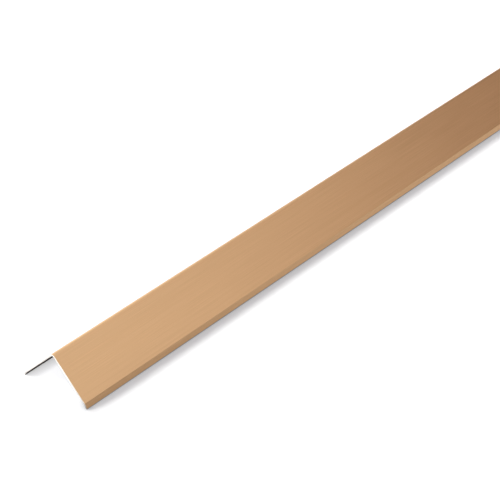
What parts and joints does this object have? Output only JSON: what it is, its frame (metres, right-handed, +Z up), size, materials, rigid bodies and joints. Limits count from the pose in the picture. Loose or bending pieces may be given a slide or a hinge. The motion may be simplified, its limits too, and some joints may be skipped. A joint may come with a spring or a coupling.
{
  "type": "corner guard moulding",
  "caption": "Folded sheet-metal corner guard: a right-angled strip with a rounded bend and kicked-in lips, glued over an outside wall corner to protect it.",
  "frame": {"origin": "on the floor, under the middle of the length and of the width", "axes": "+X along the length, +Z up out of the folded corner, -Y out of the front leg"},
  "size_m": [1.2, 0.0686, 0.0356],
  "materials": {
    "bronze_sheet": "bronze-toned, hairline brushed along the length, with bare cut ends"
  },
  "bodies": {
    "root": {"corner_guard": "bronze_sheet"}
  },
  "joints": []
}
